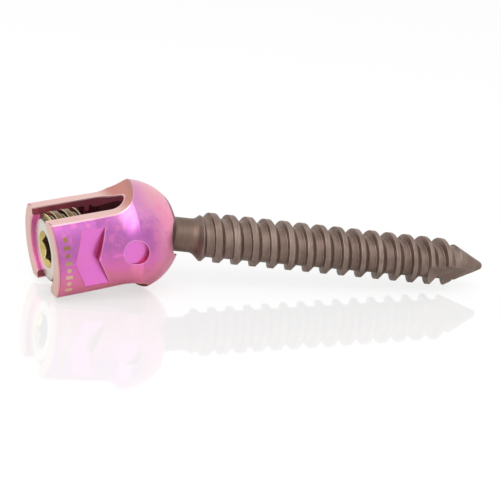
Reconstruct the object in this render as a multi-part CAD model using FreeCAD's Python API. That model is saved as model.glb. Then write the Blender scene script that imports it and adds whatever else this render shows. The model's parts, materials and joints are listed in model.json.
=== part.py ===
import FreeCAD, Part
import math
import os

from FreeCAD import Matrix, Vector

# Sizes in millimetres and degrees.

# Bone screw, measured along its own axis from the middle of its ball.
thread_diameter = 6.5
thread_pitch = 2.5
ball_to_tip = 47.3
first_crest = 8.35
core_diameter_head = 5.3
core_diameter_tip = 4.5
groove_floor = 1.0
steep_flank_angle = 8.0
sloping_flank_angle = 43.0
thread_phase_angle = -104.6
neck_diameter = 4.5
neck_end = 6.2
neck_round = 1.2
flare_end = 7.3
ball_diameter = 8.2
ball_round = 0.5
ball_top = 1.6
drive_across_flats = 3.5
drive_depth = 3.2
tip_half_angle = 26.5
tip_radius = 0.6
flute_radius = 3.0
flute_middle = 42.0
flute_web = 1.9
flute_slope = 14.0
flute_skew = 15.5
flute_angle = 29.0

# Tulip head, measured along its axis from the middle of the ball.
tulip_height = 14.3
tulip_diameter = 13.6
barrel_start = 8.6
waist_diameter = 13.4
waist_height = 5.8
shoulder_height = 3.25
shoulder_hollow = 0.2
bulb_diameter = 14.6
bulb_height = 3.2
flat_to_flat = 9.6
flat_end = 4.8
flat_runout_radius = 3.1
flat_runout_skew = 11.5
slot_width = 5.6
slot_end_height = 5.8
thread_bore_diameter = 9.5
thread_bore_end = 6.3
cap_bore_diameter = 9.0
cap_bore_end = 0.7
tilt_limit = 28.0
side_relief_angle = 52.0
rim_chamfer = 0.15
chevron_half_width = 3.7
chevron_side_height = 3.05
chevron_rise = 1.45
chevron_point = 12.1
chevron_floor = 5.65
dimple_diameter = 3.1
dimple_height = 4.0
dimple_floor = 6.55

# Set screw.
set_screw_length = 4.9
set_screw_recess = 0.5
set_screw_face_diameter = 8.0
set_screw_edge = 0.45
socket_across_flats = 3.5
socket_depth = 3.4
socket_mouth_diameter = 4.6
socket_mouth_depth = 0.9

# Pressure cap.
cap_arm_end = 5.4
cap_seat_height = 0.75
cap_hole_diameter = 6.2
cap_groove_rise = 0.1
rod_diameter = 5.6

# Clearances.
ball_clearance = 0.05
neck_clearance = 0.3
thread_clearance = 0.06
cap_clearance = 0.04

# The bone screw's lean at rest: away from the head's axis, and round it from the near leg.
rest_lean = 17.85
lean_direction = -43.85

ORIGIN = Vector(0, 0, 0)
ALONG_X = Vector(1, 0, 0)
ALONG_Y = Vector(0, 1, 0)
ALONG_Z = Vector(0, 0, 1)


def at(radius, height):
    """Point of a profile: distance from the axis and height along it."""
    return Vector(radius, 0, height)


def on_sphere(radius, centre_height, height):
    return at(math.sqrt(radius ** 2 - (height - centre_height) ** 2), height)


def arc(start, middle, end):
    return Part.Arc(start, middle, end).toShape()


def line(start, end):
    return Part.LineSegment(start, end).toShape()


def outline(points):
    """Closed wire of straight edges through the points."""
    return Part.makePolygon(points + points[:1])


def rounded(before, corner, after, radius):
    """Arc that rounds the corner between two straight runs of a profile."""
    back = before - corner
    ahead = after - corner
    back.normalize()
    ahead.normalize()
    half = back.getAngle(ahead) / 2
    inward = back + ahead
    inward.normalize()
    reach = radius / math.tan(half)
    middle = corner + inward * (radius / math.sin(half) - radius)
    return corner + back * reach, middle, corner + ahead * reach


def turned(edges):
    """Solid of revolution about Z from a closed profile in the XZ plane."""
    return Part.Face(Part.Wire(edges)).revolve(ORIGIN, ALONG_Z, 360)


def hexagon(across_flats, bottom, top):
    corner = across_flats / math.sqrt(3)
    points = []
    for i in range(6):
        angle = math.radians(60 * i)
        points.append(Vector(corner * math.cos(angle), corner * math.sin(angle), bottom))
    return Part.Face(outline(points)).extrude(Vector(0, 0, top - bottom))


def screw_blank():
    """Ball, neck, flare, cylinder and pointed tip of the bone screw, before its thread is cut."""
    crest = thread_diameter / 2
    neck = neck_diameter / 2
    ball = ball_diameter / 2
    slope = math.radians(tip_half_angle)
    nose_middle = math.radians((90 + tip_half_angle) / 2)
    flat = on_sphere(ball, 0, -ball_top)
    round_height = math.sqrt((ball + ball_round) ** 2 - (neck + ball_round) ** 2)
    round_centre = at(neck + ball_round, round_height)
    ball_end = round_centre * (ball / (ball + ball_round))
    neck_start = at(neck, round_height)
    towards = (ball_end + neck_start) / 2 - round_centre
    towards.normalize()
    round_middle = round_centre + towards * ball_round
    flare = rounded(neck_start, at(neck, neck_end), at(crest, flare_end), neck_round)
    nose_end = at(tip_radius * math.cos(slope), ball_to_tip - tip_radius * (1 - math.sin(slope)))
    nose = at(tip_radius * math.cos(nose_middle), ball_to_tip - tip_radius * (1 - math.sin(nose_middle)))
    return turned([
        line(at(0, -ball_top), flat),
        arc(flat, at(ball, 0), ball_end),
        arc(ball_end, round_middle, neck_start),
        line(neck_start, flare[0]),
        arc(*flare),
        line(flare[2], at(crest, flare_end)),
        line(at(crest, flare_end), at(crest, cylinder_end())),
        line(at(crest, cylinder_end()), nose_end),
        arc(nose_end, nose, at(0, ball_to_tip)),
        line(at(0, ball_to_tip), at(0, -ball_top)),
    ])


def cylinder_end():
    """Where the tip's cone meets the full thread diameter."""
    slope = math.radians(tip_half_angle)
    nose_end = ball_to_tip - tip_radius * (1 - math.sin(slope))
    return nose_end - (thread_diameter / 2 - tip_radius * math.cos(slope)) / math.tan(slope)


def thread_groove():
    """Groove between the threads: it follows the conical core and keeps its two flank angles."""
    head_core = core_diameter_head / 2
    tip_core = core_diameter_tip / 2
    depth = thread_diameter / 2 - tip_core
    steep = depth * math.tan(math.radians(steep_flank_angle))
    sloping = depth * math.tan(math.radians(sloping_flank_angle))
    half_floor = groove_floor / 2
    mean_depth = (thread_diameter - head_core - tip_core) / 2
    floor_to_land = (thread_pitch - mean_depth / depth * (sloping - steep)) / 2
    start = first_crest - thread_pitch
    taper = (head_core - tip_core) / (ball_to_tip - first_crest)
    radius = head_core + (first_crest - start) * taper
    outside = radius + depth + 0.1 * thread_diameter
    profile = outline([
        at(radius, -half_floor),
        at(radius + depth, -half_floor - sloping),
        at(outside, -half_floor - sloping),
        at(outside, half_floor + steep),
        at(radius + depth, half_floor + steep),
        at(radius, half_floor),
    ])
    turns = math.ceil((ball_to_tip - start) / thread_pitch)
    path = Part.makeLongHelix(thread_pitch, thread_pitch * turns, radius, -math.degrees(math.atan(taper)))
    sweep = Part.BRepOffsetAPI.MakePipeShell(Part.Wire(path.Edges))
    sweep.setFrenetMode(True)
    sweep.add(profile)
    sweep.build()
    sweep.makeSolid()
    groove = sweep.shape()
    groove.rotate(ORIGIN, ALONG_Z, thread_phase_angle)
    groove.translate(Vector(0, 0, start - floor_to_land))
    return groove


def tip_flute():
    """Self-tapping flute: a round trough that runs out under the threads and turns a little round the tip."""
    half = ball_to_tip / 3
    trough = Part.makeCylinder(flute_radius, 2 * half, Vector(0, 0, -half))
    trough.rotate(ORIGIN, ALONG_Y, -flute_slope)
    trough.rotate(ORIGIN, ALONG_X, -flute_skew)
    trough.translate(Vector(flute_web + flute_radius, 0, flute_middle))
    return trough


def bone_screw():
    body = screw_blank().cut(thread_groove())
    drive = hexagon(drive_across_flats, -ball_top - 1, drive_depth - ball_top)
    body = body.cut(drive)
    flute = tip_flute()
    flute.rotate(ORIGIN, ALONG_Z, flute_angle)
    return body.cut(flute)


def lower_meeting(throat, spread, radius, centre_height):
    """Lower point where the widening mouth r = throat - spread * h meets a sphere on the axis."""
    square = 1 + spread ** 2
    half = throat * spread + centre_height
    rest = throat ** 2 + centre_height ** 2 - radius ** 2
    height = (half - math.sqrt(half ** 2 - square * rest)) / square
    return at(throat - spread * height, height)


def tulip_body():
    """Turned outside and inside of the head, from the open rim down to the seat round the ball."""
    outer = tulip_diameter / 2
    bore = thread_bore_diameter / 2
    cap_bore = cap_bore_diameter / 2
    bulb = bulb_diameter / 2
    seat = ball_diameter / 2 + ball_clearance
    spread = math.tan(math.radians(tilt_limit))
    throat = (neck_diameter / 2 + neck_clearance) / math.cos(math.radians(tilt_limit))
    seat_end = lower_meeting(throat, spread, seat, 0)
    mouth = lower_meeting(throat, spread, bulb, bulb_height)
    seat_top = on_sphere(seat, 0, cap_bore_end)
    shoulder = on_sphere(bulb, bulb_height, shoulder_height)
    waist = at(waist_diameter / 2, waist_height)
    hollow = at((shoulder.x + waist.x) / 2 - shoulder_hollow, (shoulder_height + waist_height) / 2)
    swell = at(waist.x + 0.3 * (outer - waist.x), (waist_height + barrel_start) / 2)
    return turned([
        line(mouth, seat_end),
        arc(seat_end, at(seat, 0), seat_top),
        line(seat_top, at(cap_bore, cap_bore_end)),
        line(at(cap_bore, cap_bore_end), at(cap_bore, thread_bore_end)),
        line(at(cap_bore, thread_bore_end), at(bore, thread_bore_end)),
        line(at(bore, thread_bore_end), at(bore, tulip_height - rim_chamfer)),
        line(at(bore, tulip_height - rim_chamfer), at(bore + rim_chamfer, tulip_height)),
        line(at(bore + rim_chamfer, tulip_height), at(outer - rim_chamfer, tulip_height)),
        line(at(outer - rim_chamfer, tulip_height), at(outer, tulip_height - rim_chamfer)),
        line(at(outer, tulip_height - rim_chamfer), at(outer, barrel_start)),
        arc(at(outer, barrel_start), swell, waist),
        arc(waist, hollow, shoulder),
        arc(shoulder, on_sphere(bulb, bulb_height, (mouth.z + shoulder_height) / 2), mouth),
    ])


def flat_cutter():
    """Milling path that leaves one flat of the head and runs out askew in a hollow above the bulb."""
    flat = flat_to_flat / 2
    far = flat + bulb_diameter
    reach = bulb_diameter
    centre = flat + flat_runout_radius
    turn = flat_runout_radius * math.sqrt(0.5)
    start = Vector(-reach, flat, flat_end)
    end = Vector(-reach, centre, flat_end - flat_runout_radius)
    top = tulip_height + reach
    profile = [
        Part.Arc(start, Vector(-reach, centre - turn, flat_end - turn), end).toShape(),
        line(end, Vector(-reach, far, end.z)),
        line(Vector(-reach, far, end.z), Vector(-reach, far, top)),
        line(Vector(-reach, far, top), Vector(-reach, flat, top)),
        line(Vector(-reach, flat, top), start),
    ]
    cutter = Part.Face(Part.Wire(profile)).extrude(Vector(2 * reach, 0, 0))
    cutter.rotate(ORIGIN, ALONG_Y, -flat_runout_skew)
    return cutter


def rod_channel(width, end_height, floor_length):
    """Round-ended channel along Y, open towards the rim."""
    half = floor_length / 2
    round_end = Part.makeCylinder(width / 2, floor_length, Vector(0, -half, end_height), ALONG_Y)
    open_part = Part.makeBox(width, floor_length, tulip_height, Vector(-width / 2, -half, end_height))
    return round_end.fuse(open_part)


def leg_recesses():
    """Chevron and round recess, milled flat into the outside of the near leg."""
    low = chevron_point - chevron_rise - chevron_side_height
    depth = bulb_diameter - chevron_floor
    chevron = Part.Face(outline([
        Vector(chevron_floor, -chevron_half_width, low + chevron_side_height),
        Vector(chevron_floor, 0, chevron_point),
        Vector(chevron_floor, chevron_half_width, low + chevron_side_height),
        Vector(chevron_floor, chevron_half_width, low),
        Vector(chevron_floor, 0, chevron_point - chevron_side_height),
        Vector(chevron_floor, -chevron_half_width, low),
    ])).extrude(Vector(depth, 0, 0))
    dimple = Part.makeCylinder(dimple_diameter / 2, depth, Vector(dimple_floor, 0, dimple_height), ALONG_X)
    return chevron, dimple


def opposite(shape):
    """The same shape, half a turn round the head's axis."""
    copy = shape.copy()
    copy.rotate(ORIGIN, ALONG_Z, 180)
    return copy


def tulip_head():
    body = tulip_body()
    flat = flat_cutter()
    body = body.cut(flat).cut(opposite(flat))
    body = body.cut(rod_channel(slot_width, slot_end_height, 2 * bulb_diameter))
    for recess in leg_recesses():
        body = body.cut(recess).cut(opposite(recess))
    side = math.radians(side_relief_angle)
    relief_radius = neck_diameter / 2 + neck_clearance
    relief = Part.makeCylinder(relief_radius, bulb_diameter, ORIGIN,
                               Vector(math.sin(side), 0, -math.cos(side)))
    body = body.cut(relief).cut(opposite(relief))
    return body


def pressure_cap():
    """Saddle over the ball: it clamps the ball under the rod and leaves the hexagon in reach."""
    outer = cap_bore_diameter / 2 - cap_clearance
    seat = ball_diameter / 2 + ball_clearance
    hole = cap_hole_diameter / 2
    inner = on_sphere(seat, 0, cap_seat_height)
    hole_start = math.sqrt(seat ** 2 - hole ** 2)
    middle = (cap_seat_height + hole_start) / 2
    ring = turned([
        line(inner, at(outer, cap_seat_height)),
        line(at(outer, cap_seat_height), at(outer, cap_arm_end)),
        line(at(outer, cap_arm_end), at(hole, cap_arm_end)),
        line(at(hole, cap_arm_end), at(hole, hole_start)),
        arc(at(hole, hole_start), on_sphere(seat, 0, middle), inner),
    ])
    return ring.cut(rod_channel(rod_diameter, slot_end_height + cap_groove_rise, 2 * cap_bore_diameter))


def set_screw():
    """Threaded plug that closes the channel over the rod, with a hexagon socket in its face."""
    outer = thread_bore_diameter / 2 - thread_clearance
    face = set_screw_face_diameter / 2
    top = tulip_height - set_screw_recess
    bottom = top - set_screw_length
    mouth = socket_mouth_diameter / 2
    plug = turned([
        line(at(0, bottom), at(outer - set_screw_edge, bottom)),
        line(at(outer - set_screw_edge, bottom), at(outer, bottom + set_screw_edge)),
        line(at(outer, bottom + set_screw_edge), at(outer, top - (outer - face))),
        line(at(outer, top - (outer - face)), at(face, top)),
        line(at(face, top), at(mouth, top)),
        line(at(mouth, top), at(0, top - socket_mouth_depth)),
        line(at(0, top - socket_mouth_depth), at(0, bottom)),
    ])
    return plug.cut(hexagon(socket_across_flats, top - socket_depth, top + 1))


def shank_direction():
    lean = math.radians(rest_lean)
    turn = math.radians(lean_direction)
    return Vector(math.sin(lean) * math.cos(turn), math.sin(lean) * math.sin(turn), -math.cos(lean))


def shank_matrix():
    """From the bone screw's frame to the head's: Z along the shank, X towards the near leg."""
    along = shank_direction()
    first = ALONG_X - along * along.dot(ALONG_X)
    first.normalize()
    second = along.cross(first)
    return Matrix(first.x, second.x, along.x, 0,
                  first.y, second.y, along.y, 0,
                  first.z, second.z, along.z, 0,
                  0, 0, 0, 1)


def floor_gap(angle):
    """How far the rim's corners lie above the last full thread, for a floor at this angle."""
    angle = math.radians(angle)
    up = Vector(0, math.cos(angle), math.sin(angle))
    rim = -flat_to_flat / 2 * up.y + (tulip_height - rim_chamfer) * up.z
    along = up.dot(shank_direction())
    thread = cylinder_end() * along - thread_diameter / 2 * math.sqrt(1 - along ** 2)
    return rim - thread


def floor_angle():
    """Angle at which the head's rim and the last full thread touch the floor together."""
    low = -45.0
    high = 45.0
    while high - low > 1e-9:
        middle = (low + high) / 2
        if floor_gap(middle) > 0:
            high = middle
        else:
            low = middle
    return (low + high) / 2


def rest_matrix():
    """From the head's frame to the resting one: Z up, X from the rim towards the bulb."""
    angle = math.radians(floor_angle())
    sine = math.sin(angle)
    cosine = math.cos(angle)
    return Matrix(0, sine, -cosine, 0,
                  -1, 0, 0, 0,
                  0, cosine, sine, 0,
                  0, 0, 0, 1)


def build():
    to_rest = rest_matrix()
    screw = bone_screw()
    screw.transformShape(shank_matrix())
    pieces = {
        "tulip_head": tulip_head(),
        "bone_screw": screw,
        "pressure_cap": pressure_cap(),
        "set_screw": set_screw(),
    }
    points = []
    for piece in pieces.values():
        piece.transformShape(to_rest)
        points += piece.tessellate(0.02)[0]
    low = Vector(*(min(p[i] for p in points) for i in range(3)))
    high = Vector(*(max(p[i] for p in points) for i in range(3)))
    shift = Vector(-(low.x + high.x) / 2, -(low.y + high.y) / 2, -low.z)
    os.makedirs("parts", exist_ok=True)
    for name, piece in pieces.items():
        piece.translate(shift)
        piece.exportStep("parts/" + name + ".step")
        print(name, piece.isValid(), len(piece.Solids), round(piece.Volume, 2))
    tilt_axis = Vector(0, 0, -1).cross(shank_direction())
    tilt_axis.normalize()
    print("size", (high - low).x, (high - low).y, (high - low).z)
    print("ball centre", shift)
    print("tilt axis", to_rest.multVec(tilt_axis))
    print("head axis", to_rest.multVec(ALONG_Z))
    print("rod axis", to_rest.multVec(ALONG_Y))
    print("near leg", to_rest.multVec(ALONG_X))
    print("shank axis", to_rest.multVec(shank_direction()))
    print("floor angle", floor_angle())


build()
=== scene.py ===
import json
import math

import bmesh
import bpy
from mathutils import Matrix, Vector


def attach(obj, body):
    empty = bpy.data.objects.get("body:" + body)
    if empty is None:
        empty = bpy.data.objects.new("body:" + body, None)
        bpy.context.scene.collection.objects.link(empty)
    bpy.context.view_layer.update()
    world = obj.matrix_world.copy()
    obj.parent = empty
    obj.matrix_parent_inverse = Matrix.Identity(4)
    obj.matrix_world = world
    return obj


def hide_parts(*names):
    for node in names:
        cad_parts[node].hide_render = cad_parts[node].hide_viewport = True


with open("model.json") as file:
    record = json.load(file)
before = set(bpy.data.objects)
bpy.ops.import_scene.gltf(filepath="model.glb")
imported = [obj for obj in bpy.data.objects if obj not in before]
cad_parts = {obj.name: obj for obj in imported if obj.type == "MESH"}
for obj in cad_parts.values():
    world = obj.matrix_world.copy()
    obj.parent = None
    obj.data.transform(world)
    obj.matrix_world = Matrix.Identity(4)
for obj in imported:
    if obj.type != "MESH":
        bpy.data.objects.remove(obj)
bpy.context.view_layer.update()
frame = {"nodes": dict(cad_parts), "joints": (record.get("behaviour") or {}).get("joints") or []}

MM = 0.001

JOINTS = {joint["name"]: joint for joint in frame["joints"]}

# Middle of the ball and the directions of the head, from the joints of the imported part.
BALL = Vector(JOINTS["shank_tilt"]["pos_m"])
HEAD_AXIS = Vector(JOINTS["set_screw_travel"]["axis"]).normalized()
NEAR_LEG = Vector((0.0, -1.0, 0.0))
ROD_AXIS = HEAD_AXIS.cross(NEAR_LEG).normalized()
LEAN = math.radians(17.85)
LEAN_ROUND = math.radians(-43.85)
SHANK_AXIS = (
    NEAR_LEG * math.sin(LEAN) * math.cos(LEAN_ROUND)
    + ROD_AXIS * math.sin(LEAN) * math.sin(LEAN_ROUND)
    - HEAD_AXIS * math.cos(LEAN)
)

# Sizes of the solids that the added pieces meet, in millimetres.
BORE = 4.75
BORE_START = 6.3
SLOT_HALF = 2.8
SLOT_END = 5.8
FLAT_HALF = 4.8
FLAT_END = 4.8
FLAT_RUNOUT = 3.1
FLAT_SKEW = 11.5
RIM = 14.3
PLUG_RADIUS = 4.69
PLUG_TOP = 13.8
PLUG_BOTTOM = 8.9
PLUG_FACE = 4.0
PLUG_EDGE = 0.45
SOCKET_FLATS = 3.9
SOCKET_DEPTH = 3.4
SOCKET_MOUTH = 2.45
MOUTH_DEPTH = 3.0
SOCKET_TURN = 49.4

# Outline of the two recesses in the legs: chevron's point, slope, height and half width, then the round one.
CHEVRON_POINT = 12.1
CHEVRON_SLOPE = 0.392
CHEVRON_HEIGHT = 3.05
CHEVRON_HALF = 3.7
DIMPLE_HEIGHT = 4.0
DIMPLE_RADIUS = 1.55

# Locking thread: its groove's middle at the rod's side, pitch and widths, in millimetres.
LOCK_PITCH = 1.5
LOCK_DEPTH = 0.55
LOCK_GROOVE = 9.845
LOCK_WIDTH = 0.78
LOCK_ROOT_WIDTH = 0.6
LOCK_CLEARANCE = 0.05

# Segments round the circle of turned profiles and of the locking thread.
ROUND_STEPS = 96

# Column of marks on the near leg, in millimetres: spacing, ends, middle height and half lengths.
MARK_PITCH = 0.96
MARK_FIRST = -4.1
MARK_LAST = 3.58
MARK_MIDDLE = 12.9
MARK_HALF_HEIGHT = 0.45
MARK_HALF_WIDTH = 0.24
DOT_SQUARE_IN = 0.08
DOT_SQUARE_OUT = 0.11

# Camera, in the head's own frame, in millimetres, with half a pixel of the picture there.
FOCAL_LENGTH = 108
SENSOR_WIDTH = 36
CAMERA_RIGHT = (0.4230270, -0.0289283, -0.9056552)
CAMERA_UP = (-0.3139625, 0.9328952, -0.1764487)
CAMERA_BACK = (0.8499857, 0.3589843, 0.3855575)
CAMERA_PLACE = (172.6987, 67.3956, 63.5710)
HALF_PIXEL = 0.065

# Light and floor, in metres and watts.
WORLD_STRENGTH = 0.6
KEY_PLACE = (-0.25, -0.35, 0.45)
KEY_TARGET = (0, 0, 0.005)
KEY_SIZE = 0.6
KEY_POWER = 2.0
FLOOR_HALF = 1.5
FLOOR_DROP = 0.00002
FLOOR_GLOSS = 0.2
FLOOR_GLOSS_ROUGHNESS = 0.05
WHITE_SHARE = 0.65
WHITE_STRENGTH = 1.2


def srgb(red, green, blue):
    """Linear colour from one written as 0 to 255."""
    channels = []
    for value in (red, green, blue):
        value = value / 255
        channels.append(value / 12.92 if value <= 0.04045 else ((value + 0.055) / 1.055) ** 2.4)
    return (*channels, 1.0)


# Colours of the head: its outside, recesses, inside, milled faces and marks, with painted highlight, painted
# shade and painted sheen among them.
PINK = srgb(226, 120, 190)
VIOLET = srgb(180, 101, 172)
# Painted highlight (lighter pink), painted shade (rose, copper) and painted sheen (salmon, peach), set by
# the way the surface faces.
HIGHLIGHT_PINK = srgb(214, 140, 194)
SHADE_ROSE = srgb(222, 130, 162)
SHADE_COPPER = srgb(206, 112, 102)
SALMON_SHEEN = srgb(250, 160, 186)
PEACH_SHEEN = srgb(236, 180, 178)
PINK_PATCH = srgb(232, 130, 176)
VIOLET_PATCH = srgb(188, 104, 190)
RECESS_VIOLET = srgb(236, 124, 224)
RECESS_PINK = srgb(244, 134, 208)
# Painted shade on the recess walls.
RECESS_SHADE_WALL = srgb(150, 38, 62)
# Painted highlight and painted shade lines along the recess borders.
RECESS_HIGHLIGHT_LINE = srgb(244, 172, 224)
RECESS_WALL_SHADE_LINE = srgb(158, 52, 84)
RECESS_SHADE_LINE = srgb(186, 88, 118)
# Painted shade deep inside, painted light near the rim.
INSIDE_SHADE = srgb(158, 78, 92)
INSIDE_LIT_NEAR_RIM = srgb(248, 140, 200)
FLAT_PALE = srgb(232, 188, 180)
# Painted shade down the run-outs.
FLAT_RUNOUT_SHADE = srgb(196, 115, 101)
RIM_PALE = srgb(230, 190, 176)
# Painted highlight along the cut edges, then painted shade along the rim's outer edge.
CUT_EDGE_HIGHLIGHT = srgb(238, 194, 200)
RIM_EDGE_SHADE = srgb(178, 92, 108)
MARK_PALE = srgb(222, 200, 158)
MARK_DARK = srgb(146, 114, 62)

# Colours of the shank and of the cap, with painted shade and a painted highlight on the shank and painted
# shade darkening the cap.
SHANK_DARK = srgb(134, 114, 103)
SHANK_PALE = srgb(162, 142, 131)
SHANK_LINES = srgb(118, 98, 89)
NECK_BRONZE = srgb(104, 84, 72)
# Painted shade in the thread's roots.
GROOVE_SHADE_BRONZE = srgb(116, 94, 83)
# Painted highlight on the sharp edges.
SHANK_EDGE_HIGHLIGHT = srgb(208, 193, 182)
# The cap's maroon anodising, darkened with painted shade.
CAP_DARK = srgb(120, 62, 66)
CAP_PALE = srgb(150, 84, 84)

# Colours of the set screw: gold darkened with painted shade on the thread, gold brightened with painted
# light on the mouth's cone and the top turn, painted shade in the thread's roots and the socket, and a
# painted highlight on the edges.
# Gold in painted shade on the thread, then gold in painted light on the mouth's cone and the top turn.
SHADED_GOLD_DARK = srgb(98, 74, 46)
SHADED_GOLD_PALE = srgb(132, 108, 68)
LIT_GOLD_DARK = srgb(190, 168, 98)
LIT_GOLD_PALE = srgb(214, 194, 124)
# Painted shade in the thread's roots.
THREAD_ROOT_SHADE = srgb(84, 62, 44)
PLUG_FACE_PALE = srgb(226, 223, 212)
# Painted shade inside the hexagon socket.
SOCKET_SHADE_BROWN = srgb(130, 104, 74)
# Painted highlight on the sharp edges.
PLUG_EDGE_HIGHLIGHT = srgb(252, 243, 208)

# Colours of the floor.
FLOOR_GREY = srgb(249, 249, 249)
FLOOR_PALE = srgb(252, 252, 252)


def placed(columns, origin):
    """Matrix with these directions as its axes, from millimetres to the part's frame."""
    rows = [[column[i] * MM for column in columns] + [origin[i]] for i in range(3)]
    return Matrix(rows + [[0, 0, 0, 1]])


HEAD = placed((NEAR_LEG, ROD_AXIS, HEAD_AXIS), BALL)


def camera():
    """Camera of the photograph, placed in the head's own frame."""
    data = bpy.data.cameras.new("Camera")
    data.sensor_width = SENSOR_WIDTH
    data.lens = FOCAL_LENGTH
    data.clip_start = 0.01
    data.clip_end = 20
    cam = bpy.data.objects.new("Camera", data)
    bpy.context.scene.collection.objects.link(cam)
    right = Vector(CAMERA_RIGHT)
    up = Vector(CAMERA_UP)
    place = Vector(CAMERA_PLACE) + HALF_PIXEL * (up - right)
    turned = [NEAR_LEG * v.x + ROD_AXIS * v.y + HEAD_AXIS * v.z for v in (right, up, Vector(CAMERA_BACK))]
    axes = [v.normalized() for v in turned]
    spot = HEAD @ place
    rows = [[axis[i] for axis in axes] + [spot[i]] for i in range(3)]
    cam.matrix_world = Matrix(rows + [[0, 0, 0, 1]])
    bpy.context.scene.camera = cam


def new_object(name, mesh):
    piece = bpy.data.objects.new(name, mesh)
    bpy.context.scene.collection.objects.link(piece)
    return piece


def mesh_object(name, vertices, faces):
    mesh = bpy.data.meshes.new(name)
    mesh.from_pydata([tuple(v) for v in vertices], [], faces)
    mesh.update()
    return new_object(name, mesh)


def lathe(name, profile):
    """Closed turned solid: profile is a list of (radius, height), from axis to axis."""
    vertices = []
    faces = []
    rings = []
    for radius, height in profile:
        if radius < 1e-9:
            rings.append([len(vertices)])
            vertices.append((0.0, 0.0, height))
            continue
        rings.append(list(range(len(vertices), len(vertices) + ROUND_STEPS)))
        for k in range(ROUND_STEPS):
            angle = 2 * math.pi * k / ROUND_STEPS
            vertices.append((radius * math.cos(angle), radius * math.sin(angle), height))
    for low, high in zip(rings, rings[1:]):
        for k in range(ROUND_STEPS):
            m = (k + 1) % ROUND_STEPS
            if len(low) == 1:
                faces.append((low[0], high[k], high[m]))
            elif len(high) == 1:
                faces.append((low[k], high[0], low[m]))
            else:
                faces.append((low[k], high[k], high[m], low[m]))
    return mesh_object(name, vertices, faces)


def helix_bar(name, section, low, high):
    """Closed bar along the locking thread. section is a list of (radius, height) about height 0."""
    count = len(section)
    total = math.ceil((high - low) / LOCK_PITCH * ROUND_STEPS)
    vertices = []
    faces = []
    for k in range(total + 1):
        height = low + LOCK_PITCH * k / ROUND_STEPS
        angle = math.pi / 2 + 2 * math.pi * (height - LOCK_GROOVE) / LOCK_PITCH
        for radius, offset in section:
            vertices.append((radius * math.cos(angle), radius * math.sin(angle), height + offset))
    for k in range(total):
        for i in range(count):
            j = (i + 1) % count
            a = k * count
            faces.append((a + i, a + j, a + count + j, a + count + i))
    faces.append(tuple(range(count))[::-1])
    faces.append(tuple(total * count + i for i in range(count)))
    return mesh_object(name, vertices, faces)


def outward(mesh):
    cage = bmesh.new()
    cage.from_mesh(mesh)
    bmesh.ops.recalc_face_normals(cage, faces=cage.faces)
    cage.to_mesh(mesh)
    cage.free()


def combine(base, tools):
    """Mesh of the base after exact booleans with the tools, which are then removed."""
    for operation, tool in tools:
        outward(tool.data)
        change = base.modifiers.new(operation, "BOOLEAN")
        change.operation = operation
        change.solver = "EXACT"
        change.object = tool
    graph = bpy.context.evaluated_depsgraph_get()
    mesh = bpy.data.meshes.new_from_object(base.evaluated_get(graph))
    for thing in [base] + [tool for operation, tool in tools]:
        bpy.data.objects.remove(thing)
    return mesh


def prism(name, corners, low, high):
    count = len(corners)
    vertices = [(x, y, low) for x, y in corners] + [(x, y, high) for x, y in corners]
    faces = [tuple(range(count))[::-1], tuple(range(count, 2 * count))]
    for i in range(count):
        j = (i + 1) % count
        faces.append((i, j, count + j, count + i))
    return mesh_object(name, vertices, faces)


def smooth(piece, degrees=35):
    piece.data.polygons.foreach_set("use_smooth", [True] * len(piece.data.polygons))
    cage = bmesh.new()
    cage.from_mesh(piece.data)
    for edge in cage.edges:
        if len(edge.link_faces) == 2 and edge.calc_face_angle() > math.radians(degrees):
            edge.smooth = False
    cage.to_mesh(piece.data)
    cage.free()


def plug():
    """Set screw with its locking thread and hexagon socket, at the place of its solid."""
    edge = PLUG_RADIUS - PLUG_FACE
    body = lathe("plug_envelope", [
        (0, PLUG_BOTTOM),
        (PLUG_RADIUS - PLUG_EDGE, PLUG_BOTTOM),
        (PLUG_RADIUS, PLUG_BOTTOM + PLUG_EDGE),
        (PLUG_RADIUS, PLUG_TOP - edge),
        (PLUG_FACE, PLUG_TOP - 0.03),
        (PLUG_FACE - 0.06, PLUG_TOP),
        (SOCKET_MOUTH, PLUG_TOP),
        (0, PLUG_TOP - MOUTH_DEPTH),
    ])
    outward(body.data)
    root = PLUG_RADIUS - LOCK_DEPTH
    beyond = PLUG_RADIUS + 0.5
    groove = helix_bar("plug_groove", [
        (root, -LOCK_ROOT_WIDTH / 2),
        (PLUG_RADIUS, -LOCK_WIDTH / 2),
        (beyond, -LOCK_WIDTH / 2),
        (beyond, LOCK_WIDTH / 2),
        (PLUG_RADIUS, LOCK_WIDTH / 2),
        (root, LOCK_ROOT_WIDTH / 2),
    ], PLUG_BOTTOM - LOCK_PITCH, PLUG_TOP + LOCK_PITCH)
    corner = SOCKET_FLATS / math.sqrt(3)
    angles = [math.radians(60 * i + SOCKET_TURN) for i in range(6)]
    corners = [(corner * math.cos(a), corner * math.sin(a)) for a in angles]
    socket = prism("plug_socket", corners, PLUG_TOP - SOCKET_DEPTH, PLUG_TOP + 1)
    piece = new_object("locking_plug", combine(body, [("DIFFERENCE", groove), ("DIFFERENCE", socket)]))
    piece.data.transform(HEAD)
    smooth(piece)
    return piece


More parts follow.
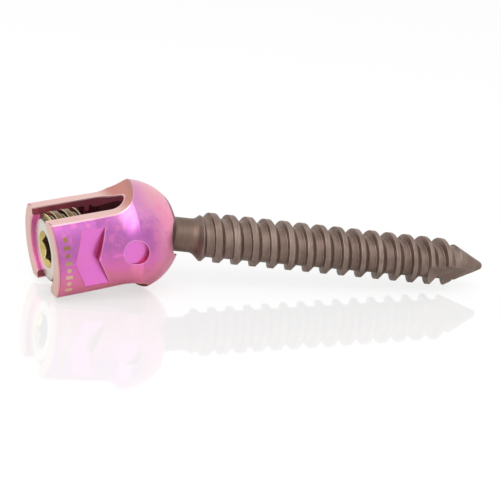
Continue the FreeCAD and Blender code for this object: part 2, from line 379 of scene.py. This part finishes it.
def bore_thread(side):
    """The head's own locking thread inside one leg, cut off where the rod channel passes."""
    tip = PLUG_RADIUS - LOCK_DEPTH + LOCK_CLEARANCE
    base_half = LOCK_WIDTH / 2 - LOCK_CLEARANCE
    tip_half = LOCK_ROOT_WIDTH / 2 - LOCK_CLEARANCE
    bar = helix_bar("leg_thread", [
        (tip, -tip_half),
        (BORE + 0.03, -base_half),
        (BORE + 0.03, base_half),
        (tip, tip_half),
    ], BORE_START - 2 * LOCK_PITCH, RIM + LOCK_PITCH)
    outward(bar.data)
    lower = BORE_START + 0.1
    upper = RIM - 0.75
    near = SLOT_HALF * side
    far = 6.0 * side
    corners = [(near, -6), (far, -6), (far, 6), (near, 6)]
    if side < 0:
        corners.reverse()
    keep = prism("leg_space", corners, lower, upper)
    name = "leg_thread_near" if side > 0 else "leg_thread_far"
    piece = new_object(name, combine(bar, [("INTERSECT", keep)]))
    piece.data.transform(HEAD)
    smooth(piece)
    return piece


class Nodes:
    """Short way to lay out a material's nodes."""

    def __init__(self, name):
        self.material = bpy.data.materials.new(name)
        self.material.use_nodes = True
        self.tree = self.material.node_tree
        self.tree.nodes.clear()
        self.out = self.tree.nodes.new("ShaderNodeOutputMaterial")

    def add(self, kind, **values):
        node = self.tree.nodes.new(kind)
        for key, value in values.items():
            setattr(node, key, value)
        return node

    def put(self, value, socket):
        if isinstance(value, bpy.types.NodeSocket):
            self.tree.links.new(value, socket)
        else:
            socket.default_value = value

    def math(self, operation, a, b=0.0, clamp=False):
        node = self.add("ShaderNodeMath", operation=operation, use_clamp=clamp)
        self.put(a, node.inputs[0])
        self.put(b, node.inputs[1])
        return node.outputs[0]

    def dot(self, vector, direction):
        node = self.add("ShaderNodeVectorMath", operation="DOT_PRODUCT")
        self.put(vector, node.inputs[0])
        node.inputs[1].default_value = direction
        return node.outputs["Value"]

    def minus(self, vector, offset):
        node = self.add("ShaderNodeVectorMath", operation="SUBTRACT")
        self.put(vector, node.inputs[0])
        node.inputs[1].default_value = offset
        return node.outputs[0]

    def step(self, value, low, high):
        node = self.add("ShaderNodeMapRange", interpolation_type="SMOOTHSTEP")
        self.put(value, node.inputs["Value"])
        node.inputs["From Min"].default_value = low
        node.inputs["From Max"].default_value = high
        return node.outputs["Result"]

    def mix(self, factor, a, b):
        node = self.add("ShaderNodeMix", data_type="RGBA")
        self.put(factor, node.inputs["Factor"])
        self.put(a, node.inputs["A"])
        self.put(b, node.inputs["B"])
        return node.outputs["Result"]

    def noise(self, vector, scale, detail=3.0):
        node = self.add("ShaderNodeTexNoise")
        self.put(vector, node.inputs["Vector"])
        node.inputs["Scale"].default_value = scale
        node.inputs["Detail"].default_value = detail
        return node.outputs["Fac"]

    def combine(self, x, y, z):
        node = self.add("ShaderNodeCombineXYZ")
        self.put(x, node.inputs[0])
        self.put(y, node.inputs[1])
        self.put(z, node.inputs[2])
        return node.outputs[0]

    def bump(self, height, strength, distance):
        node = self.add("ShaderNodeBump")
        self.put(height, node.inputs["Height"])
        node.inputs["Strength"].default_value = strength
        node.inputs["Distance"].default_value = distance
        return node.outputs[0]

    def shader(self, colour, metallic, roughness, normal=None):
        node = self.add("ShaderNodeBsdfPrincipled")
        self.put(colour, node.inputs["Base Color"])
        self.put(metallic, node.inputs["Metallic"])
        self.put(roughness, node.inputs["Roughness"])
        if normal is not None:
            self.put(normal, node.inputs["Normal"])
        self.tree.links.new(node.outputs[0], self.out.inputs["Surface"])
        return node


def head_frame(n):
    """Coordinates of the surface in the head's own frame, in millimetres: near leg, rod, head axis."""
    here = n.minus(n.add("ShaderNodeTexCoord").outputs["Object"], BALL)
    return [n.math("MULTIPLY", n.dot(here, axis), 1000.0) for axis in (NEAR_LEG, ROD_AXIS, HEAD_AXIS)]


def shank_frame(n):
    """Distance along the shank's axis and from it, in millimetres."""
    here = n.minus(n.add("ShaderNodeTexCoord").outputs["Object"], BALL)
    along = n.math("MULTIPLY", n.dot(here, SHANK_AXIS), 1000.0)
    length = n.add("ShaderNodeVectorMath", operation="LENGTH")
    n.put(here, length.inputs[0])
    whole = n.math("MULTIPLY", length.outputs["Value"], 1000.0)
    square = n.math("SUBTRACT", n.math("MULTIPLY", whole, whole), n.math("MULTIPLY", along, along))
    return along, n.math("SQRT", n.math("MAXIMUM", square, 0.0))


def edges(n, radius, samples=6):
    """Mask of the sharp edges, where a painted highlight goes, and the rounded normal there."""
    bevel = n.add("ShaderNodeBevel", samples=samples)
    bevel.inputs["Radius"].default_value = radius
    flat = n.add("ShaderNodeNewGeometry").outputs["Normal"]
    meet = n.add("ShaderNodeVectorMath", operation="DOT_PRODUCT")
    n.put(bevel.outputs[0], meet.inputs[0])
    n.put(flat, meet.inputs[1])
    return n.step(meet.outputs["Value"], 0.985, 0.9), bevel.outputs[0]


def turned_lines(n, along, around, size):
    """Fine lines left by turning: rings along an axis, broken up a little round it."""
    place = n.combine(n.math("MULTIPLY", along, size), n.math("MULTIPLY", around, 0.35), 0.0)
    return n.noise(place, 1.0, 4.0)


def inside(n, value, low, high, soft):
    """One between the two limits, with soft borders."""
    return n.math("MULTIPLY", n.step(value, low - soft, low + soft), n.step(value, high + soft, high - soft))


def marks(n, leg, r, t):
    """Column of plain bars and dots near the rim of the near leg."""
    cell = n.math("DIVIDE", n.math("SUBTRACT", r, MARK_FIRST), MARK_PITCH)
    place = n.math("SUBTRACT", n.math("FRACT", cell), 0.5)
    wide = inside(n, place, -MARK_HALF_WIDTH, MARK_HALF_WIDTH, 0.04)
    tall = inside(n, t, MARK_MIDDLE - MARK_HALF_HEIGHT, MARK_MIDDLE + MARK_HALF_HEIGHT, 0.04)
    bar = n.math("MULTIPLY", wide, tall)
    across = n.math("MULTIPLY", place, MARK_PITCH)
    up = n.math("SUBTRACT", t, MARK_MIDDLE)
    away = n.math("ADD", n.math("MULTIPLY", across, across), n.math("MULTIPLY", up, up))
    dot = n.step(away, DOT_SQUARE_OUT, DOT_SQUARE_IN)
    odd = n.step(n.math("FRACT", n.math("MULTIPLY", n.math("FLOOR", cell), 0.5)), 0.2, 0.3)
    even = n.math("SUBTRACT", 1.0, odd)
    mask = n.math("ADD", n.math("MULTIPLY", bar, even), n.math("MULTIPLY", dot, odd))
    mask = n.math("MULTIPLY", mask, inside(n, r, MARK_FIRST, MARK_LAST, 0.02))
    return n.math("MULTIPLY", mask, n.step(leg, 4.95, 5.0), clamp=True)


def cut_gap(n, leg, r, t):
    """How far the surface lies inside the milled flats and their skewed run-outs, in millimetres."""
    skew = math.radians(FLAT_SKEW)
    side = n.math("SIGN", r)
    along = n.math("MULTIPLY", n.math("MULTIPLY", leg, side), math.sin(skew))
    height = n.math("SUBTRACT", n.math("MULTIPLY", t, math.cos(skew)), along)
    drop = n.math("MINIMUM", n.math("MAXIMUM", n.math("SUBTRACT", FLAT_END, height), 0.0), FLAT_RUNOUT)
    rest = n.math("SUBTRACT", FLAT_RUNOUT * FLAT_RUNOUT, n.math("MULTIPLY", drop, drop))
    reach = n.math("SUBTRACT", FLAT_HALF + FLAT_RUNOUT, n.math("SQRT", n.math("MAXIMUM", rest, 0.0)))
    return n.math("SUBTRACT", reach, n.math("ABSOLUTE", r))


def recess_light_and_shade_lines(n, r, t):
    """Painted highlight and painted shade lines along the borders of the chevron and of the round recess."""
    across = n.math("ABSOLUTE", r)
    slope = n.math("MULTIPLY", across, CHEVRON_SLOPE)
    from_low = n.math("SUBTRACT", n.math("ADD", t, slope), CHEVRON_POINT - CHEVRON_HEIGHT)
    from_top = n.math("SUBTRACT", n.math("ADD", t, slope), CHEVRON_POINT)
    within = n.step(across, CHEVRON_HALF + 0.1, CHEVRON_HALF + 0.05)
    low_line = n.math("MULTIPLY", inside(n, from_low, -0.2, -0.08, 0.03), within)
    wall_shade_line = n.math("MULTIPLY", inside(n, from_low, -0.08, 0.02, 0.02), within)
    top_line = n.math("MULTIPLY", inside(n, from_top, 0.0, 0.1, 0.03), within)
    up = n.math("SUBTRACT", t, DIMPLE_HEIGHT)
    ring = n.math("SQRT", n.math("ADD", n.math("MULTIPLY", r, r), n.math("MULTIPLY", up, up)))
    ring_line = inside(n, ring, DIMPLE_RADIUS + 0.02, DIMPLE_RADIUS + 0.14, 0.03)
    between = inside(n, from_top, -CHEVRON_HEIGHT, 0.0, 0.03)
    side_line = n.math("MULTIPLY", inside(n, across, CHEVRON_HALF - 0.02, CHEVRON_HALF + 0.1, 0.03), between)
    return n.math("MAXIMUM", low_line, ring_line), n.math("MAXIMUM", top_line, side_line), wall_shade_line


def head_material():
    n = Nodes("anodised_head")
    leg, r, t = head_frame(n)
    normal = n.add("ShaderNodeNewGeometry").outputs["Normal"]
    facing_leg = n.math("ABSOLUTE", n.dot(normal, NEAR_LEG))
    facing_rim = n.dot(normal, HEAD_AXIS)
    around = n.dot(normal, ROD_AXIS)
    out = n.math("SQRT", n.math("ADD", n.math("MULTIPLY", leg, leg), n.math("MULTIPLY", r, r)))
    away = n.math("ABSOLUTE", leg)
    gap = cut_gap(n, leg, r, t)

    # Outside: pink, with painted reflection and painted shade set by the way the surface faces: violet in
    # the middle of a leg, pink beside it, a painted highlight above and painted shade, rose to copper,
    # below.
    wide = n.combine(n.math("MULTIPLY", t, 0.3), n.math("MULTIPLY", r, 0.4), n.math("MULTIPLY", leg, 0.3))
    cloud = n.noise(wide, 1.0, 3.0)
    fine = n.noise(n.combine(n.math("MULTIPLY", t, 1.2), r, leg), 1.0, 6.0)
    wave = n.math("ADD", around, n.math("MULTIPLY", n.math("SUBTRACT", cloud, 0.5), 0.5))
    wave = n.math("ADD", wave, n.math("MULTIPLY", n.math("SUBTRACT", fine, 0.5), 0.4))
    colour = n.mix(n.step(wave, -0.2, 0.25), PINK, VIOLET)
    # Painted highlight near the bulb where the surface faces up; painted shade, rose then copper, where it
    # faces down.
    painted_highlight = n.math("MULTIPLY", n.step(wave, 0.3, 0.7), n.step(t, 7.5, 4.5))
    colour = n.mix(painted_highlight, colour, HIGHLIGHT_PINK)
    colour = n.mix(n.step(wave, -0.1, -0.45), colour, SHADE_ROSE)
    colour = n.mix(n.step(around, -0.6, -0.8), colour, SHADE_COPPER)
    # Painted sheen: salmon where the surface faces the ball, peach on the bulb's upper side.
    colour = n.mix(n.math("MULTIPLY", n.step(facing_rim, -0.1, -0.6), 0.85), colour, SALMON_SHEEN)
    colour = n.mix(n.math("MULTIPLY", n.step(fine, 0.48, 0.72), 0.45), colour, PINK_PATCH)
    colour = n.mix(n.math("MULTIPLY", n.step(fine, 0.42, 0.28), 0.35), colour, VIOLET_PATCH)
    peach_sheen = n.math("MULTIPLY", n.step(facing_rim, 0.0, -0.4), n.step(around, 0.55, 0.85))
    colour = n.mix(n.math("MULTIPLY", peach_sheen, 0.5), colour, PEACH_SHEEN)
    lowest = DIMPLE_HEIGHT - DIMPLE_RADIUS - 0.1
    widest = CHEVRON_HALF + 0.05
    recess = n.math("MULTIPLY", n.step(away, 5.5, 5.6), inside(n, t, lowest, CHEVRON_POINT + 0.2, 0.05))
    recess = n.math("MULTIPLY", recess, inside(n, r, -widest, widest, 0.03))
    floor_part = n.math("MULTIPLY", recess, n.step(facing_leg, 0.9985, 0.9995))
    colour = n.mix(floor_part, colour, n.mix(cloud, RECESS_VIOLET, RECESS_PINK))
    # Painted shade: the recess walls dark crimson.
    wall_shade = n.math("MULTIPLY", recess, n.step(facing_leg, 0.6, 0.4))
    colour = n.mix(wall_shade, colour, RECESS_SHADE_WALL)
    highlight_line, shade_line, wall_shade_line = recess_light_and_shade_lines(n, r, t)
    skin = n.math("MULTIPLY", n.step(away, 5.68, 5.72), n.step(facing_leg, 0.6, 0.8))
    # Painted highlight along the low border and round the round recess, painted shade along the top, the
    # sides and the wall.
    borders = (
        (highlight_line, 0.5, RECESS_HIGHLIGHT_LINE),
        (wall_shade_line, 0.8, RECESS_WALL_SHADE_LINE),
        (shade_line, 0.6, RECESS_SHADE_LINE),
    )
    for line, share, tint in borders:
        colour = n.mix(n.math("MULTIPLY", n.math("MULTIPLY", line, skin), share), colour, tint)

    # Inside: painted shade, maroon deep round the rod and the cap, and painted light, pink, where the
    # locking thread comes near the rim.
    below = n.math("MINIMUM", n.math("SUBTRACT", t, SLOT_END), 0.0)
    round_end = n.math("ADD", n.math("MULTIPLY", leg, leg), n.math("MULTIPLY", below, below))
    slot_square = SLOT_HALF * SLOT_HALF
    in_slot = n.step(round_end, slot_square + 0.46, slot_square + 0.16)
    slot = n.math("MULTIPLY", in_slot, n.step(gap, 0.02, 0.05))
    inner = n.math("MAXIMUM", n.step(out, BORE + 0.23, BORE + 0.15), slot)
    lit_near_rim = n.math("MULTIPLY", n.step(t, 7.5, 12.0), n.math("SUBTRACT", 1.0, slot))
    inside_shade = n.mix(lit_near_rim, INSIDE_SHADE, INSIDE_LIT_NEAR_RIM)
    colour = n.mix(inner, colour, inside_shade)

    # Milled flats, run-outs and rim, with painted highlights along their edges, painted shade, copper, down
    # the run-outs and a painted shade line round the rim's outer edge.
    # Painted shade: copper down the run-outs toward the bulb.
    flat = n.mix(n.step(t, 5.4, 3.0), FLAT_PALE, FLAT_RUNOUT_SHADE)
    colour = n.mix(n.step(gap, 0.035, 0.015), colour, flat)
    rim = n.math("MULTIPLY", n.step(facing_rim, 0.55, 0.8), n.step(t, RIM - 0.4, RIM - 0.3))
    colour = n.mix(rim, colour, RIM_PALE)
    slot_rim = n.step(round_end, slot_square + 1.06, slot_square + 0.76)
    slot_edge = n.math("MULTIPLY", slot_rim, n.step(gap, 0.05, 0.02))
    cut_edge = n.math("MULTIPLY", inside(n, gap, 0.03, 0.15, 0.02), n.step(out, BORE + 0.15, BORE + 0.25))
    side_edge = n.math("MULTIPLY", n.step(gap, 0.05, 0.02), n.step(out, 6.58, 6.68))
    side_edge = n.math("MULTIPLY", side_edge, n.step(t, 5.0, 5.6))
    # Painted highlight along the slot, cut and side edges.
    edge = n.math("MAXIMUM", n.math("MAXIMUM", slot_edge, cut_edge), side_edge)
    colour = n.mix(n.math("MULTIPLY", edge, 0.85), colour, CUT_EDGE_HIGHLIGHT)
    # Painted shade along the rim's outer edge.
    rim_shade_line = n.math("MULTIPLY", inside(n, t, RIM - 0.28, RIM + 0.1, 0.06), n.step(out, 5.9, 6.2))
    rim_shade_line = n.math("MULTIPLY", rim_shade_line, n.step(facing_rim, 0.75, 0.5))
    colour = n.mix(n.math("MULTIPLY", rim_shade_line, 0.7), colour, RIM_EDGE_SHADE)
    mark = marks(n, leg, r, t)
    mark_colour = n.mix(n.step(r, -1.5, 1.5), MARK_PALE, MARK_DARK)
    colour = n.mix(n.math("MULTIPLY", mark, 0.92), colour, mark_colour)

    lines = turned_lines(n, t, n.math("ADD", r, leg), 16.0)
    rough = n.math("ADD", n.math("MULTIPLY", lines, 0.12), n.math("MULTIPLY", mark, 0.15))
    metal = n.math("SUBTRACT", 0.88, n.math("MULTIPLY", inner, 0.4))
    n.shader(colour, metal, n.math("ADD", rough, 0.24), n.bump(lines, 0.08, 0.00002))
    return n.material


def shank_material():
    n = Nodes("shank_metal")
    along, out = shank_frame(n)
    lines = turned_lines(n, along, out, 14.0)
    local = n.minus(n.add("ShaderNodeTexCoord").outputs["Object"], BALL)
    blotches = n.noise(local, 500.0, 4.0)
    colour = n.mix(n.step(blotches, 0.35, 0.65), SHANK_DARK, SHANK_PALE)
    colour = n.mix(n.step(lines, 0.35, 0.75), colour, SHANK_LINES)
    neck = n.step(along, 7.4, 6.0)
    colour = n.mix(n.math("MULTIPLY", neck, 0.6), colour, NECK_BRONZE)
    # Painted shade in the thread's roots.
    groove = n.step(out, 3.15, 2.7)
    colour = n.mix(n.math("MULTIPLY", groove, 0.25), colour, GROOVE_SHADE_BRONZE)
    # Painted highlight on the sharp edges.
    edge, rounded_normal = edges(n, 0.00012)
    colour = n.mix(n.math("MULTIPLY", edge, 0.5), colour, SHANK_EDGE_HIGHLIGHT)
    rough = n.math("ADD", n.math("MULTIPLY", lines, 0.2), 0.34)
    bump = n.bump(lines, 0.22, 0.00003)
    n.put(rounded_normal, bump.node.inputs["Normal"])
    n.shader(colour, 0.8, rough, bump)
    return n.material


def cap_material():
    n = Nodes("cap_metal")
    leg, r, t = head_frame(n)
    lines = turned_lines(n, t, leg, 12.0)
    # The cap's maroon anodising, darkened with painted shade as it sits deep inside the head.
    colour = n.mix(lines, CAP_DARK, CAP_PALE)
    rough = n.math("ADD", n.math("MULTIPLY", lines, 0.1), 0.28)
    n.shader(colour, 0.85, rough)
    return n.material


def plug_material():
    n = Nodes("plug_metal")
    leg, r, t = head_frame(n)
    square = n.math("ADD", n.math("MULTIPLY", leg, leg), n.math("MULTIPLY", r, r))
    out = n.math("SQRT", square)
    lines = turned_lines(n, t, leg, 12.0)
    facing = n.dot(n.add("ShaderNodeNewGeometry").outputs["Normal"], HEAD_AXIS)
    # Gold in painted shade on the thread, gold in painted light on the top turn and the mouth's cone.
    gold = n.mix(n.step(lines, 0.3, 0.7), SHADED_GOLD_DARK, SHADED_GOLD_PALE)
    lit_first_turn = n.math("MULTIPLY", n.step(out, 4.1, 4.3), n.step(t, PLUG_TOP - 1.5, PLUG_TOP - 1.2))
    mouth = n.step(out, SOCKET_MOUTH + 0.03, SOCKET_MOUTH - 0.03)
    cone = n.math("MULTIPLY", mouth, n.step(facing, 0.3, 0.4))
    lit_gold = n.mix(n.step(lines, 0.3, 0.7), LIT_GOLD_DARK, LIT_GOLD_PALE)
    gold = n.mix(n.math("MAXIMUM", lit_first_turn, cone), gold, lit_gold)
    # Painted shade in the thread's roots.
    root = n.step(out, PLUG_RADIUS - 0.1, PLUG_RADIUS - 0.4)
    thread = n.math("MULTIPLY", root, n.step(out, 3.4, 3.6))
    colour = n.mix(n.math("MULTIPLY", thread, 0.8), gold, THREAD_ROOT_SHADE)
    face = n.math("MULTIPLY", n.step(facing, 0.95, 0.985), n.step(t, PLUG_TOP - 0.1, PLUG_TOP - 0.05))
    colour = n.mix(face, colour, PLUG_FACE_PALE)
    # Painted shade on the socket's walls and bottom.
    socket = n.math("MULTIPLY", n.step(out, SOCKET_MOUTH, SOCKET_MOUTH - 0.1), n.step(facing, 0.3, 0.2))
    bottom = n.step(t, PLUG_TOP - SOCKET_DEPTH + 0.1, PLUG_TOP - SOCKET_DEPTH + 0.05)
    colour = n.mix(n.math("MAXIMUM", socket, bottom), colour, SOCKET_SHADE_BROWN)
    # Painted highlight on the sharp edges.
    edge, rounded_normal = edges(n, 0.00016)
    colour = n.mix(n.math("MULTIPLY", edge, 0.9), colour, PLUG_EDGE_HIGHLIGHT)
    rough = n.math("ADD", n.math("MULTIPLY", lines, 0.1), 0.22)
    bump = n.bump(lines, 0.08, 0.00002)
    n.put(rounded_normal, bump.node.inputs["Normal"])
    n.shader(colour, 0.85, rough, bump)
    return n.material


def paint(piece, material):
    piece.data.materials.clear()
    piece.data.materials.append(material)


def clear_rays(tree):
    """One for the rays that show the white surroundings: seen straight, mirrored or through glass."""
    path = tree.nodes.new("ShaderNodeLightPath")
    total = tree.nodes.new("ShaderNodeMath")
    total.operation = "MAXIMUM"
    tree.links.new(path.outputs["Is Camera Ray"], total.inputs[0])
    tree.links.new(path.outputs["Is Glossy Ray"], total.inputs[1])
    both = tree.nodes.new("ShaderNodeMath")
    both.operation = "MAXIMUM"
    tree.links.new(total.outputs[0], both.inputs[0])
    tree.links.new(path.outputs["Is Transmission Ray"], both.inputs[1])
    return both.outputs[0]


def lights():
    world = bpy.data.worlds.new("World")
    bpy.context.scene.world = world
    world.use_nodes = True
    tree = world.node_tree
    tree.nodes.clear()
    out = tree.nodes.new("ShaderNodeOutputWorld")
    background = tree.nodes.new("ShaderNodeBackground")
    background.inputs["Color"].default_value = (1.0, 1.0, 1.0, 1.0)
    background.inputs["Strength"].default_value = WORLD_STRENGTH
    seen = tree.nodes.new("ShaderNodeBackground")
    seen.inputs["Color"].default_value = (1.0, 1.0, 1.0, 1.0)
    mix = tree.nodes.new("ShaderNodeMixShader")
    tree.links.new(clear_rays(tree), mix.inputs[0])
    tree.links.new(background.outputs[0], mix.inputs[1])
    tree.links.new(seen.outputs[0], mix.inputs[2])
    tree.links.new(mix.outputs[0], out.inputs["Surface"])


def key_light():
    """Large square lamp above and in front of the near leg."""
    data = bpy.data.lights.new("key", "AREA")
    data.size = KEY_SIZE
    data.energy = KEY_POWER
    lamp = bpy.data.objects.new("key", data)
    bpy.context.scene.collection.objects.link(lamp)
    lamp.location = KEY_PLACE
    lamp.rotation_euler = (Vector(KEY_TARGET) - Vector(KEY_PLACE)).to_track_quat("-Z", "Y").to_euler()


def floor():
    """Pale polished table: it keeps the object's shadow and a faint mirror image."""
    half = FLOOR_HALF
    corners = [(-half, -half, 0), (half, -half, 0), (half, half, 0), (-half, half, 0)]
    plane = mesh_object("floor", corners, [(0, 1, 2, 3)])
    plane.location.z = -FLOOR_DROP
    n = Nodes("floor")
    grain = n.noise(n.add("ShaderNodeTexCoord").outputs["Object"], 900.0, 2.0)
    base = n.shader(n.mix(grain, FLOOR_GREY, FLOOR_PALE), 0.0, 0.5)
    base.inputs["Specular IOR Level"].default_value = 0.0
    white = n.add("ShaderNodeEmission")
    white.inputs["Strength"].default_value = WHITE_STRENGTH
    share = n.math("MULTIPLY", n.add("ShaderNodeLightPath").outputs["Is Camera Ray"], WHITE_SHARE)
    lifted = n.add("ShaderNodeMixShader")
    n.put(share, lifted.inputs[0])
    n.put(base.outputs[0], lifted.inputs[1])
    n.put(white.outputs[0], lifted.inputs[2])
    gloss = n.add("ShaderNodeBsdfGlossy")
    gloss.inputs["Roughness"].default_value = FLOOR_GLOSS_ROUGHNESS
    polished = n.add("ShaderNodeMixShader")
    polished.inputs[0].default_value = FLOOR_GLOSS
    n.put(lifted.outputs[0], polished.inputs[1])
    n.put(gloss.outputs[0], polished.inputs[2])
    n.put(polished.outputs[0], n.out.inputs["Surface"])
    paint(plane, n.material)


camera()
bpy.context.scene.view_settings.view_transform = "Standard"
pink = head_material()
paint(frame["nodes"]["tulip_head"], pink)
paint(frame["nodes"]["bone_screw"], shank_material())
paint(frame["nodes"]["pressure_cap"], cap_material())

locking_plug = plug()
paint(locking_plug, plug_material())
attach(locking_plug, "locking_screw")
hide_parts("set_screw")
for side in (1, -1):
    leg = bore_thread(side)
    paint(leg, pink)
    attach(leg, "head")

floor()
lights()
key_light()
